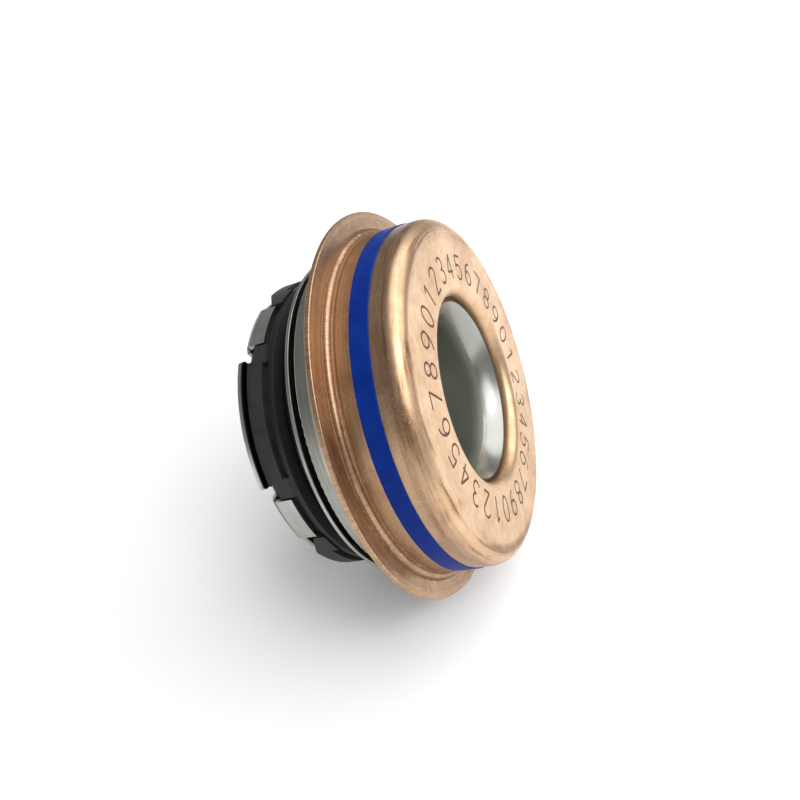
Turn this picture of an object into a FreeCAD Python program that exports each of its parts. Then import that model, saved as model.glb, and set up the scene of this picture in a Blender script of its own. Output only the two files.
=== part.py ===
import FreeCAD, Part
import math
import os
import re
import Sketcher

# Mechanical shaft seal of a water pump, as one cartridge on its own sleeve.
# It stands on the end plate of the sleeve: Z is the shaft axis, and the brass face is on top.
# The two ears of the end plate lie on -Y and +Y. Lengths in millimetres, angles in degrees.

SIZES = (
    ("shaft_radius", 7.95, "bore of the sleeve, pressed on the pump shaft"),
    ("sleeve_wall", 0.5, "sheet of the sleeve and its end plate"),
    ("bore_entry", 0.6, "rounding at the mouth of the bore"),
    ("flare_reach", 1.55, "bore to the inner edge of the flared mouth"),
    ("flare_angle", 50.0, "slope of the flare against the axis"),
    ("flare_straight", 0.158, "straight end of the flare, after its sweep"),
    ("flare_sink", 1.3, "depth of the flare's edge below the brass face"),
    ("plate_inset", 0.8, "tabs' outer face to the edge of the plain end plate"),
    ("ear_reach", 0.3, "tabs' outer face to the edge of an ear"),
    ("ear_spread", 47.0, "angle that one ear covers"),
    ("ear_rounding", 0.5, "corner of an ear, seen along the axis"),
    ("tab_gap", 0.2, "gap between the boot and a tab"),
    ("tab_height", 2.6, "height of a tab above the foot of the plate"),
    ("tab_spread", 18.8, "angle that one tab covers"),
    ("tab_offset", 38.6, "angle from the middle of an ear to the middle of a tab"),
    ("tab_bend", 1.0, "outer radius of the bend under a tab"),
    ("notch_depth", 0.7, "relief notch beside a tab, below the plate's edge"),
    ("notch_spread", 4.4, "angle of a relief notch"),
    ("working_height", 10.8, "flange seat to sleeve end when fitted"),
    ("free_extra", 0.75, "added height before fitting"),
    ("housing_depth", 7.45, "flange seat to brass face"),
    ("brass_wall", 0.55, "sheet of the housing"),
    ("mouth_room", 0.55, "gap round the spring shell in the housing's mouth"),
    ("shoulder_step", 0.7, "body to the step beside the flange"),
    ("shoulder_rise", 0.6, "height of that step"),
    ("shoulder_rounding", 0.42, "outer rounding of that step"),
    ("shoulder_hollow", 0.25, "hollow rounding between that step and the body"),
    ("flange_width", 2.0, "step to the edge of the flange"),
    ("flange_rounding", 0.12, "edge of the flange, on both sides"),
    ("corner_rounding", 1.6, "corner between body and face"),
    ("hole_gap", 0.15, "room beside the flare's edge"),
    ("hole_rounding", 1.15, "edge of the hole in the face"),
    ("fold_rounding", 0.5, "folds of the funnel between that hole and the collar"),
    ("seat_gap", 0.1, "room under the flare"),
    ("collar_gap", 0.7, "room between collar and sleeve"),
    ("collar_height", 3.4, "straight collar below its seat"),
    ("band_start", 2.4, "flange seat to sealant band"),
    ("band_width", 1.95, "width of the sealant band"),
    ("band_rise", 0.12, "thickness of the sealant band"),
    ("boot_floor", 1.9, "rubber between end plate and mating ring"),
    ("boot_wall", 0.5, "plain wall of the boot, behind the tabs"),
    ("boot_lip", 0.95, "inner rubber lip, between sleeve and mating ring"),
    ("rim_reach", 0.6, "boot's plain wall to its rim and long lugs"),
    ("boot_rim_start", 3.4, "height of the rim's lower edge"),
    ("boot_rim_width", 0.45, "width of the rim"),
    ("boot_bevel", 0.5, "height of the bevel above the rim"),
    ("lug_clearance", 0.18, "gap between end plate and long lugs"),
    ("lug_spread", 44.8, "angle that a long lug covers"),
    ("lug_shoulder", 0.7, "step from the long lug to its end blocks"),
    ("lug_gap_angle", 0.6, "angle between rubber and tab edges"),
    ("slot_width", 0.8, "slot in the face of a lug, beside the rim"),
    ("slot_spread", 42.0, "angle of the slot in a long lug"),
    ("pad_reach", 0.2, "rim to the face of the wide pads between the pairs of tabs"),
    ("pad_clearance", 0.1, "gap between end plate and pads"),
    ("pad_slot_inset", 10.4, "angle from a pad's end to its slot"),
    ("pad_cut_rise", 1.5, "height of the cut corner of a pad"),
    ("pad_cut_run", 3.1, "length of the cut corner of a pad"),
    ("mating_reach", 0.9, "seal face's ring to the outside of the mating ring"),
    ("ring_chamfer", 0.2, "chamfer of the hard rings"),
    ("face_film", 0.02, "film between the two hard faces"),
    ("ring_room", 1.75, "sleeve to the bore of the seal face's ring"),
    ("nose_inset", 0.8, "that bore to the inner edge of the seal face"),
    ("face_width", 2.2, "width of the seal face"),
    ("nose_shoulder", 0.7, "outer edge of the seal face to the outside of its ring"),
    ("nose_height", 1.0, "height of the nose that carries the face"),
    ("ring_height", 3.1, "height of that ring above the nose"),
    ("cup_rubber", 0.65, "rubber between that ring and its retainer"),
    ("cup_start", 0.2, "step from the nose to the rubber cup"),
    ("retainer_wall", 0.4, "sheet of the retainer and the spring shell"),
    ("lip_drop", 4.55, "housing's flange to the retainer's lip"),
    ("lip_clearance", 0.45, "sealing faces to the retainer's lip"),
    ("lip_reach", 0.3, "neck of the spring shell to the edge of the retainer's lip"),
    ("lip_bend", 0.5, "outer radius of the retainer's bends"),
    ("hole_room", 0.2, "bellows to the holes over it"),
    ("shell_gap", 0.57, "gap between lip and spring shell"),
    ("shell_room", 1.85, "retainer to the inside of the shell's neck"),
    ("shell_flare", 0.25, "step out to the widened end of the shell"),
    ("shell_step", 1.4, "length of the widened end"),
    ("shell_rounding", 0.7, "corner at the top of the spring shell"),
    ("membrane_wall", 0.7, "rubber of the bellows"),
    ("membrane_rounding", 0.9, "outer radius of the roll"),
    ("roll_room", 0.7, "clamp ring to the inside of the roll"),
    ("roll_gap", 0.23, "gap between the roll and the clamp ring"),
    ("sleeve_rubber", 0.7, "rubber held on the collar"),
    ("rubber_tail", 1.1, "rubber left below the roll on the collar"),
    ("seat_room", 0.57, "foot of the housing's seat to the rubber on the collar"),
    ("clamp_wall", 0.5, "sheet of the clamp ring"),
    ("clamp_height", 1.5, "height of the clamp ring"),
    ("spring_wire", 1.2, "wire of the spring"),
    ("spring_room", 1.45, "spring to the inside of the body"),
    ("spring_turns", 2.0, "open turns, between the two closed ends"),
    ("coil_gap", 0.08, "gap in the closed ends of the spring"),
)

# Radii that follow from the sizes, from the shaft outwards.
SLEEVE_OUTER = "(shaft_radius + sleeve_wall)"
FLARE_RADIUS = "(shaft_radius + flare_reach)"
FLARE_SWEEP = "((flare_reach / sin(flare_angle) - flare_straight) / tan(flare_angle / 2))"
FLARE_EDGE = f"({FLARE_RADIUS} + sleeve_wall * cos(flare_angle))"
HOLE_RADIUS = f"({FLARE_EDGE} + hole_gap)"
COLLAR_INNER = f"({SLEEVE_OUTER} + collar_gap)"
COLLAR_OUTER = f"({COLLAR_INNER} + brass_wall)"
COLLAR_RUBBER = f"({COLLAR_OUTER} + sleeve_rubber)"
CLAMP_OUTER = f"({COLLAR_RUBBER} + clamp_wall)"
MEMBRANE_INNER = f"({CLAMP_OUTER} + roll_room)"
MEMBRANE_OUTER = f"({MEMBRANE_INNER} + membrane_wall)"
RETAINER_HOLE = f"({MEMBRANE_OUTER} + hole_room)"
SHELL_HOLE = f"({RETAINER_HOLE} + hole_room)"
RING_INNER = f"({SLEEVE_OUTER} + ring_room)"
NOSE_INNER = f"({RING_INNER} + nose_inset)"
NOSE_OUTER = f"({NOSE_INNER} + face_width)"
RING_OUTER = f"({NOSE_OUTER} + nose_shoulder)"
MATING_OUTER = f"({RING_OUTER} + mating_reach)"
CUP_OUTER = f"({RING_OUTER} + cup_rubber)"
RETAINER_OUTER = f"({CUP_OUTER} + retainer_wall)"
SHELL_NECK = f"({RETAINER_OUTER} + shell_room + retainer_wall)"
SHELL_OUTER = f"({SHELL_NECK} + shell_flare)"
LIP_RADIUS = f"({SHELL_NECK} + lip_reach)"
BODY_INNER = f"({SHELL_NECK} + mouth_room)"
BODY_RADIUS = f"({BODY_INNER} + brass_wall)"
SHOULDER_RADIUS = f"({BODY_RADIUS} + shoulder_step)"
FLANGE_RADIUS = f"({SHOULDER_RADIUS} + flange_width)"
SPRING_RADIUS = f"({BODY_INNER} - spring_room - spring_wire / 2)"
BOOT_LIP_RADIUS = f"({SLEEVE_OUTER} + boot_lip)"
BOOT_RADIUS = f"({MATING_OUTER} + boot_wall)"
RIM_RADIUS = f"({BOOT_RADIUS} + rim_reach)"
PAD_RADIUS = f"({RIM_RADIUS} + pad_reach)"
TAB_RADIUS = f"({BOOT_RADIUS} + tab_gap + sleeve_wall)"
PLATE_RADIUS = f"({TAB_RADIUS} - plate_inset)"
EAR_RADIUS = f"({TAB_RADIUS} + ear_reach)"

# Heights that follow from the sizes, from the end plate upwards.
PLATE_TOP = "sleeve_wall"
MATING_BASE = f"({PLATE_TOP} + boot_floor)"
RIM_TOP = "(boot_rim_start + boot_rim_width)"
SEAT = "(working_height + free_extra)"
FLANGE_BACK = f"({SEAT} - brass_wall)"
SHOULDER_TOP = f"({SEAT} + shoulder_rise)"
FRONT = f"({SEAT} + housing_depth)"
SPRING_TOP = f"({FRONT} - brass_wall)"
LIP_BASE = f"({FLANGE_BACK} - lip_drop)"
LIP_TOP = f"({LIP_BASE} + retainer_wall)"
FACE = f"({LIP_BASE} - lip_clearance)"
NOSE = f"({FACE} + face_film)"
RING_BASE = f"({NOSE} + nose_height)"
RING_TOP = f"({RING_BASE} + ring_height)"
CUP_TOP = f"({RING_TOP} + retainer_wall)"
RETAINER_TOP = f"({CUP_TOP} + retainer_wall)"
SHELL_BASE = f"({LIP_TOP} + shell_gap)"
SHELL_TOP = f"({RETAINER_TOP} + retainer_wall)"
FLARE_TOP = f"({FRONT} - flare_sink)"
FLARE_CORNER = f"({FLARE_TOP} - flare_reach / tan(flare_angle))"
FLARE_FOOT = f"({FLARE_TOP} - sleeve_wall * sin(flare_angle))"
SEAT_DROP = "(seat_gap / sin(flare_angle))"
FUNNEL_TOP = f"({FLARE_FOOT} + hole_gap / tan(flare_angle) - {SEAT_DROP})"
FUNNEL_FOOT = f"({FUNNEL_TOP} - ({HOLE_RADIUS} - {COLLAR_INNER}) / tan(flare_angle))"
COLLAR_END = f"({FUNNEL_FOOT} - collar_height)"
RUBBER_TOP = f"({FUNNEL_FOOT} - seat_room)"
CLAMP_BASE = f"({RUBBER_TOP} - clamp_height)"
ROLL_TOP = f"({CLAMP_BASE} - roll_gap)"
ROLL_BASE = f"({ROLL_TOP} - membrane_wall)"
RUBBER_FOOT = f"({ROLL_BASE} - rubber_tail)"

# Bearings about the axis, from +X.
EAR_BEARING = "90"
NEAR_TAB_BEARING = "(90 - tab_offset)"
FAR_TAB_BEARING = "(90 + tab_offset)"
LUG_HALF = "(tab_offset - tab_spread / 2 - lug_gap_angle)"
PAD_HALF = "(90 - tab_offset - tab_spread / 2 - lug_gap_angle)"


def bound(text):
    """The text as an expression on the sheet: every name with an underscore is a cell."""
    return re.sub(r"[a-z]+(?:_[a-z]+)+", r"Sizes.\g<0>", text)


def number(sheet, text):
    """The value of an expression on the sheet."""
    return float(sheet.evalExpression(bound(text)))


def make_sheet(doc):
    """The sheet of driving sizes, one alias to a row."""
    sheet = doc.addObject("Spreadsheet::Sheet", "Sizes")
    for row, (alias, value, meaning) in enumerate(SIZES, start=1):
        sheet.set(f"A{row}", meaning)
        sheet.set(f"B{row}", str(value))
        sheet.setAlias(f"B{row}", alias)
    doc.recompute()
    return sheet


def make_body(doc, label):
    """An empty body with its own label."""
    body = doc.addObject("PartDesign::Body", label)
    body.Label = label
    return body


def plane_of(body, role):
    """One of the body's own origin planes."""
    return next(f for f in body.Origin.OriginFeatures if f.Role == role)


def section_plane(body, name, bearing=None, role="XZ_Plane"):
    """An empty sketch on an upright origin plane, turned about the axis to a bearing."""
    sketch = body.newObject("Sketcher::SketchObject", name)
    sketch.AttachmentSupport = [(plane_of(body, role), "")]
    sketch.MapMode = "FlatFace"
    if bearing:
        sheet = body.Document.getObject("Sizes")
        turn = FreeCAD.Rotation(FreeCAD.Vector(0, 1, 0), number(sheet, bearing))
        sketch.AttachmentOffset = FreeCAD.Placement(FreeCAD.Vector(), turn)
        sketch.setExpression("AttachmentOffset.Rotation.Angle", bound(bearing))
    return sketch


def outline(body, name, corners, bearing=None, role="XZ_Plane"):
    """A closed section. A corner is (distance out, height) or (distance out, height, rounding)."""
    sheet = body.Document.getObject("Sizes")
    sketch = section_plane(body, name, bearing, role)
    spots = [place(sheet, corner) for corner in corners]
    points, arcs, slanted = [], {}, []
    for i, corner in enumerate(corners):
        if not corner[2:]:
            points.append(corner)
            continue
        back = heading(spots[i], spots[i - 1])
        on = heading(spots[i], spots[(i + 1) % len(spots)])
        if back and on:
            clockwise = back.x * on.y - back.y * on.x > 0
            centre = moved(moved(corner, back), on)
            arcs[len(points)] = (centre, clockwise)
            points += [moved(corner, back), moved(corner, on)]
        else:
            slanted.append((len(points), corner[2]))
            points.append(corner)
    draw_outline(sketch, sheet, points, arcs)
    for line, rounding in slanted:
        round_corner(sketch, line, number(sheet, rounding), rounding)
    return sketch


def place(sheet, corner):
    """Where a corner lies in its sketch, at the present sizes."""
    return FreeCAD.Vector(number(sheet, corner[0]), number(sheet, corner[1]), 0)


def heading(start, end):
    """The direction from one corner to the next if it is level or upright, else None."""
    way = end - start
    if abs(way.y) < 1e-6:
        return FreeCAD.Vector(1 if way.x > 0 else -1, 0, 0)
    if abs(way.x) < 1e-6:
        return FreeCAD.Vector(0, 1 if way.y > 0 else -1, 0)
    return None


def moved(corner, way):
    """A corner's expressions, moved by its rounding in a level or upright direction."""
    signs = {1: "+", -1: "-"}
    out, up, rounding = corner
    if way.x:
        out = f"{out} {signs[int(way.x)]} ({rounding})"
    else:
        up = f"{up} {signs[int(way.y)]} ({rounding})"
    return out, up, rounding


def draw_outline(sketch, sheet, points, arcs):
    """Joins the points with lines, and with arcs where one rounds a square corner."""
    count = len(points)
    spots = [place(sheet, point) for point in points]
    first, last = [], []
    for i in range(count):
        following = spots[(i + 1) % count]
        flipped = i in arcs and arcs[i][1]
        first.append(2 if flipped else 1)
        last.append(1 if flipped else 2)
        if i in arcs:
            middle = place(sheet, arcs[i][0])
            sketch.addGeometry(quarter(middle, spots[i], following, flipped), False)
        else:
            sketch.addGeometry(Part.LineSegment(spots[i], following), False)
    for i in range(count):
        ahead = (i + 1) % count
        sketch.addConstraint(Sketcher.Constraint("Coincident", i, last[i], ahead, first[ahead]))
    for i, point in enumerate(points):
        pin(sketch, i, first[i], "DistanceX", f"out{i}", spots[i].x, point[0])
        pin(sketch, i, first[i], "DistanceY", f"up{i}", spots[i].y, point[1])
    for i, (centre, _) in arcs.items():
        pin(sketch, i, 3, "DistanceX", f"middle{i}", place(sheet, centre).x, centre[0])


def quarter(middle, start, end, clockwise):
    """A quarter circle between two points, drawn counter-clockwise."""
    if clockwise:
        start, end = end, start
    radius = (start - middle).Length
    circle = Part.Circle(middle, FreeCAD.Vector(0, 0, 1), radius)
    from_angle = math.atan2(start.y - middle.y, start.x - middle.x)
    to_angle = math.atan2(end.y - middle.y, end.x - middle.x)
    return Part.ArcOfCircle(circle, from_angle, to_angle)


def pin(sketch, shape, point, kind, name, value, text):
    """Ties one coordinate of a point, measured from the sketch's origin, to an expression."""
    index = sketch.addConstraint(Sketcher.Constraint(kind, -1, 1, shape, point, value))
    sketch.renameConstraint(index, name)
    sketch.setExpression(f"Constraints.{name}", bound(text))


def round_corner(sketch, line, radius, text):
    """Rounds a slanted corner at a line's start, with its radius tied to an expression."""
    sketch.fillet(line, 1, radius, True, True)
    arc = max(i for i, g in enumerate(sketch.Geometry) if isinstance(g, Part.ArcOfCircle))
    index = sketch.addConstraint(Sketcher.Constraint("Radius", arc, radius))
    sketch.renameConstraint(index, f"round{line}")
    sketch.setExpression(f"Constraints.round{line}", bound(text))


def turned(body, kind, name, sketch, spread=None):
    """A Revolution or Groove of a section, all the way round or over a spread about its plane."""
    feature = body.newObject(f"PartDesign::{kind}", name)
    feature.Profile = sketch
    feature.ReferenceAxis = (sketch, ["V_Axis"])
    feature.Angle = 360
    if spread:
        feature.Midplane = True
        feature.setExpression("Angle", bound(spread))
    sketch.Visibility = False
    body.Tip = feature
    return feature


def opposite(body, name, sketch, features):
    """The same features once more, half a turn round."""
    pattern = body.newObject("PartDesign::PolarPattern", name)
    pattern.Originals = features
    pattern.Axis = (sketch, ["V_Axis"])
    pattern.Angle = 360
    pattern.Occurrences = 2
    body.Tip = pattern
    return pattern


def solid_ring(doc, label, corners):
    """A sub-part that is one turned section."""
    body = make_body(doc, label)
    sketch = outline(body, f"{label}_section", corners)
    turned(body, "Revolution", f"{label}_ring", sketch)
    return body


def make_sleeve(doc):
    """Drawn steel sleeve: end plate with ears and bent tabs, plain bore, flared mouth."""
    body = make_body(doc, "sleeve")
    outer_corner = f"({FLARE_CORNER} - sleeve_wall * tan(flare_angle / 2))"
    section = outline(body, "sleeve_section", [
        ("shaft_radius", "0", "bore_entry"),
        (PLATE_RADIUS, "0"),
        (PLATE_RADIUS, PLATE_TOP),
        (SLEEVE_OUTER, PLATE_TOP),
        (SLEEVE_OUTER, outer_corner, f"{FLARE_SWEEP} - sleeve_wall"),
        (FLARE_EDGE, FLARE_FOOT),
        (FLARE_RADIUS, FLARE_TOP),
        ("shaft_radius", FLARE_CORNER, FLARE_SWEEP),
    ])
    turned(body, "Revolution", "drawn_sleeve", section)
    root = f"({PLATE_RADIUS} - 2 * notch_depth)"
    ear_section = outline(body, "ear_section", [
        (root, "0"),
        (EAR_RADIUS, "0"),
        (EAR_RADIUS, PLATE_TOP),
        (root, PLATE_TOP),
    ], EAR_BEARING)
    ear = turned(body, "Revolution", "ear", ear_section, "ear_spread")
    made = [ear]
    for side, bearing in (("near", NEAR_TAB_BEARING), ("far", FAR_TAB_BEARING)):
        tab_section = outline(body, f"{side}_tab_section", [
            (root, "0"),
            (TAB_RADIUS, "0", "tab_bend"),
            (TAB_RADIUS, "tab_height"),
            (f"{TAB_RADIUS} - sleeve_wall", "tab_height"),
            (f"{TAB_RADIUS} - sleeve_wall", PLATE_TOP, "tab_bend - sleeve_wall"),
            (root, PLATE_TOP),
        ], bearing)
        made.append(turned(body, "Revolution", f"{side}_tab", tab_section, "tab_spread"))
    opposite(body, "ears_and_tabs", section, made)
    cuts = []
    step = "((tab_offset - tab_spread / 2 + ear_spread / 2) / 2)"
    for side, bearing in (("near", f"90 - {step}"), ("far", f"90 + {step}")):
        notch_section = outline(body, f"{side}_notch_section", [
            (f"{PLATE_RADIUS} - notch_depth", "0 - sleeve_wall"),
            (f"{TAB_RADIUS} + sleeve_wall", "0 - sleeve_wall"),
            (f"{TAB_RADIUS} + sleeve_wall", "2 * sleeve_wall"),
            (f"{PLATE_RADIUS} - notch_depth", "2 * sleeve_wall"),
        ], bearing)
        cuts.append(turned(body, "Groove", f"{side}_notch", notch_section, "notch_spread"))
    opposite(body, "notches", section, cuts)
    doc.recompute()
    round_ears(body)
    return body


def round_ears(body):
    """Rounds the upright outer corners of the ears."""
    sheet = body.Document.getObject("Sizes")
    rim = number(sheet, EAR_RADIUS)
    base = body.Tip
    names = []
    for i, edge in enumerate(base.Shape.Edges, start=1):
        ends = [v.Point for v in edge.Vertexes]
        if len(ends) == 2 and all(abs(abs(complex(p.x, p.y)) - rim) < 0.001 for p in ends):
            if abs(ends[0].z - ends[1].z) > 0.001:
                names.append(f"Edge{i}")
    fillet = body.newObject("PartDesign::Fillet", "ear_corners")
    fillet.Base = (base, names)
    fillet.setExpression("Radius", bound("ear_rounding"))
    body.Tip = fillet


def make_mating_ring(doc):
    """Hard ring that turns with the sleeve."""
    return solid_ring(doc, "mating_ring", [
        (BOOT_LIP_RADIUS, MATING_BASE),
        (f"{MATING_OUTER} - ring_chamfer", MATING_BASE),
        (MATING_OUTER, f"{MATING_BASE} + ring_chamfer"),
        (MATING_OUTER, f"{FACE} - ring_chamfer"),
        (f"{MATING_OUTER} - ring_chamfer", FACE),
        (f"{BOOT_LIP_RADIUS} + ring_chamfer", FACE),
        (BOOT_LIP_RADIUS, f"{FACE} - ring_chamfer"),
    ])


def make_boot(doc):
    """Rubber boot that carries the mating ring and keys into the end plate."""
    body = make_body(doc, "boot")
    section = outline(body, "boot_section", [
        (SLEEVE_OUTER, PLATE_TOP),
        (BOOT_RADIUS, PLATE_TOP, "tab_bend - sleeve_wall"),
        (BOOT_RADIUS, "boot_rim_start"),
        (RIM_RADIUS, "boot_rim_start"),
        (RIM_RADIUS, RIM_TOP, "ring_chamfer / 2"),
        (f"{MATING_OUTER} + ring_chamfer", f"{RIM_TOP} + boot_bevel", "ring_chamfer / 2"),
        (MATING_OUTER, f"{RIM_TOP} + boot_bevel"),
        (MATING_OUTER, MATING_BASE),
        (BOOT_LIP_RADIUS, MATING_BASE),
        (BOOT_LIP_RADIUS, f"{RIM_TOP} + boot_bevel"),
        (SLEEVE_OUTER, f"{RIM_TOP} + boot_bevel"),
    ])
    turned(body, "Revolution", "boot_cup", section)
    root = f"(({BOOT_RADIUS} + {MATING_OUTER}) / 2)"
    made = []
    for name, radius, base, spread, bearing in (
        ("lug", RIM_RADIUS, f"{PLATE_TOP} + lug_clearance", "lug_spread", EAR_BEARING),
        ("lug_ends", RIM_RADIUS, f"{PLATE_TOP} + lug_clearance + lug_shoulder",
         f"2 * {LUG_HALF}", EAR_BEARING),
        ("pad", PAD_RADIUS, f"{PLATE_TOP} + pad_clearance", f"2 * {PAD_HALF}", "0"),
    ):
        lug_section = outline(body, f"{name}_section", [
            (root, base),
            (radius, base, "ring_chamfer"),
            (radius, "boot_rim_start"),
            (root, "boot_rim_start"),
        ], bearing)
        made.append(turned(body, "Revolution", name, lug_section, spread))
    opposite(body, "lugs", section, made)
    cuts = []
    for name, spread, bearing in (
        ("lug_slot", "slot_spread", EAR_BEARING),
        ("pad_slot", f"2 * ({PAD_HALF} - pad_slot_inset)", "0"),
    ):
        slot_section = outline(body, f"{name}_section", [
            (BOOT_RADIUS, "boot_rim_start - slot_width"),
            (f"{PAD_RADIUS} + slot_width", "boot_rim_start - slot_width"),
            (f"{PAD_RADIUS} + slot_width", "boot_rim_start"),
            (BOOT_RADIUS, "boot_rim_start"),
        ], bearing)
        cuts.append(turned(body, "Groove", name, slot_section, spread))
    for side, sign in (("left", "-1"), ("right", "1")):
        cuts.append(pad_corner(body, f"{side}_pad_corner", sign))
    opposite(body, "slots", section, cuts)
    return body


def pad_corner(body, name, sign):
    """Cuts a lower corner off a pad, in a plane through that end of the pad."""
    base = f"({PLATE_TOP} + pad_clearance)"
    beyond = "slot_width"
    section = outline(body, f"{name}_section", [
        (f"0 - {sign} * pad_cut_run", f"{base} - {beyond}"),
        (f"{sign} * {beyond}", f"{base} - {beyond}"),
        (f"{sign} * {beyond}", f"{base} + pad_cut_rise"),
        ("0", f"{base} + pad_cut_rise"),
        (f"0 - {sign} * pad_cut_run", base),
    ], f"{sign} * {PAD_HALF}", "YZ_Plane")
    cut = body.newObject("PartDesign::Pocket", name)
    cut.Profile = section
    cut.Type = "Length"
    cut.Reversed = True
    cut.setExpression("Length", bound(f"{PAD_RADIUS} + slot_width"))
    section.Visibility = False
    body.Tip = cut
    return cut


def make_seal_face(doc):
    """Hard ring that stands still, with the raised sealing face below."""
    return solid_ring(doc, "seal_face", [
        (NOSE_INNER, f"{NOSE} + ring_chamfer"),
        (f"{NOSE_INNER} + ring_chamfer", NOSE),
        (f"{NOSE_OUTER} - ring_chamfer", NOSE),
        (NOSE_OUTER, f"{NOSE} + ring_chamfer"),
        (NOSE_OUTER, RING_BASE),
        (RING_OUTER, RING_BASE),
        (RING_OUTER, RING_TOP),
        (RING_INNER, RING_TOP),
        (RING_INNER, RING_BASE),
        (NOSE_INNER, RING_BASE),
    ])


def make_face_retainer(doc):
    """Drawn steel cup round the seal face, with an outward lip at its open end."""
    return solid_ring(doc, "face_retainer", [
        (CUP_OUTER, LIP_BASE, "lip_bend"),
        (LIP_RADIUS, LIP_BASE, "retainer_wall / 4"),
        (LIP_RADIUS, LIP_TOP, "retainer_wall / 4"),
        (RETAINER_OUTER, LIP_TOP, "lip_bend / 2"),
        (RETAINER_OUTER, RETAINER_TOP, "lip_bend"),
        (RETAINER_HOLE, RETAINER_TOP),
        (RETAINER_HOLE, CUP_TOP),
        (CUP_OUTER, CUP_TOP, "lip_bend / 4"),
    ])


def make_spring_shell(doc):
    """Grey steel shell that takes the spring's push, with a widened end beside the lip."""
    inner_neck = f"({SHELL_NECK} - retainer_wall)"
    step_base = f"({SHELL_BASE} + shell_step)"
    return solid_ring(doc, "spring_shell", [
        (f"{SHELL_OUTER} - retainer_wall", SHELL_BASE),
        (SHELL_OUTER, SHELL_BASE, "retainer_wall / 3"),
        (SHELL_OUTER, step_base, "shell_flare / 2"),
        (SHELL_NECK, f"{step_base} + shell_flare", "shell_gap / 3"),
        (SHELL_NECK, SHELL_TOP, "shell_rounding"),
        (SHELL_HOLE, SHELL_TOP),
        (SHELL_HOLE, f"{SHELL_TOP} - retainer_wall"),
        (inner_neck, f"{SHELL_TOP} - retainer_wall", "shell_rounding - retainer_wall"),
        (inner_neck, f"{step_base} + shell_flare"),
        (f"{SHELL_OUTER} - retainer_wall", step_base),
    ])


def make_bellows(doc):
    """Rubber bellows: a cup on the seal face's ring, one roll, and a sleeve on the collar."""
    return solid_ring(doc, "bellows", [
        (COLLAR_OUTER, RUBBER_TOP),
        (COLLAR_OUTER, RUBBER_FOOT),
        (COLLAR_RUBBER, RUBBER_FOOT),
        (COLLAR_RUBBER, ROLL_BASE),
        (MEMBRANE_INNER, ROLL_BASE, "membrane_rounding - membrane_wall"),
        (MEMBRANE_INNER, CUP_TOP),
        (f"{RING_INNER} + retainer_wall", CUP_TOP),
        (f"{RING_INNER} + retainer_wall", RING_TOP),
        (RING_OUTER, RING_TOP),
        (RING_OUTER, f"{RING_BASE} + cup_start"),
        (CUP_OUTER, f"{RING_BASE} + cup_start"),
        (CUP_OUTER, CUP_TOP, "lip_bend / 4"),
        (MEMBRANE_OUTER, CUP_TOP),
        (MEMBRANE_OUTER, ROLL_TOP, "membrane_rounding"),
        (COLLAR_RUBBER, ROLL_TOP),
        (COLLAR_RUBBER, RUBBER_TOP),
    ])


def make_bellows_clamp(doc):
    """Steel ring pressed over the rubber on the collar."""
    return solid_ring(doc, "bellows_clamp", [
        (COLLAR_RUBBER, CLAMP_BASE),
        (CLAMP_OUTER, CLAMP_BASE, "clamp_wall / 3"),
        (CLAMP_OUTER, RUBBER_TOP, "clamp_wall / 3"),
        (COLLAR_RUBBER, RUBBER_TOP),
    ])


def coil(body, name, start, rise, turns):
    """One stretch of the spring's wire, starting in the same plane at a given height."""
    sheet = body.Document.getObject("Sizes")
    section = section_plane(body, f"{name}_section")
    centre = FreeCAD.Vector(number(sheet, SPRING_RADIUS), number(sheet, start), 0)
    wire = Part.Circle(centre, FreeCAD.Vector(0, 0, 1), number(sheet, "spring_wire / 2"))
    section.addGeometry(wire, False)
    pin(section, 0, 3, "DistanceX", "out", centre.x, SPRING_RADIUS)
    pin(section, 0, 3, "DistanceY", "up", centre.y, start)
    index = section.addConstraint(Sketcher.Constraint("Diameter", 0, 2 * wire.Radius))
    section.renameConstraint(index, "wire")
    section.setExpression("Constraints.wire", bound("spring_wire"))
    feature = body.newObject("PartDesign::AdditiveHelix", name)
    feature.Profile = section
    feature.ReferenceAxis = (section, ["V_Axis"])
    feature.Mode = "height-turns-angle"
    feature.setExpression("Height", bound(rise))
    feature.setExpression("Turns", bound(turns))
    section.Visibility = False
    body.Tip = feature


def make_spring(doc):
    """Coil spring with closed ends ground flat, between the shell and the housing."""
    body = make_body(doc, "spring")
    start = f"({SHELL_TOP} + spring_wire / 4)"
    end = f"({SPRING_TOP} - spring_wire / 4)"
    closed = "(spring_wire + coil_gap)"
    coil(body, "lower_coil", start, closed, "1")
    coil(body, "open_coils", f"{start} + {closed}", f"{end} - {start} - 2 * {closed}", "spring_turns")
    coil(body, "upper_coil", f"{end} - {closed}", closed, "1")
    for name, low, high in (
        ("lower_grind", f"{SHELL_TOP} - spring_wire", SHELL_TOP),
        ("upper_grind", SPRING_TOP, f"{SPRING_TOP} + spring_wire"),
    ):
        cut_section = outline(body, f"{name}_section", [
            (f"{SPRING_RADIUS} - spring_wire", low),
            (f"{SPRING_RADIUS} + spring_wire", low),
            (f"{SPRING_RADIUS} + spring_wire", high),
            (f"{SPRING_RADIUS} - spring_wire", high),
        ])
        turned(body, "Groove", name, cut_section)
    return body


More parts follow.
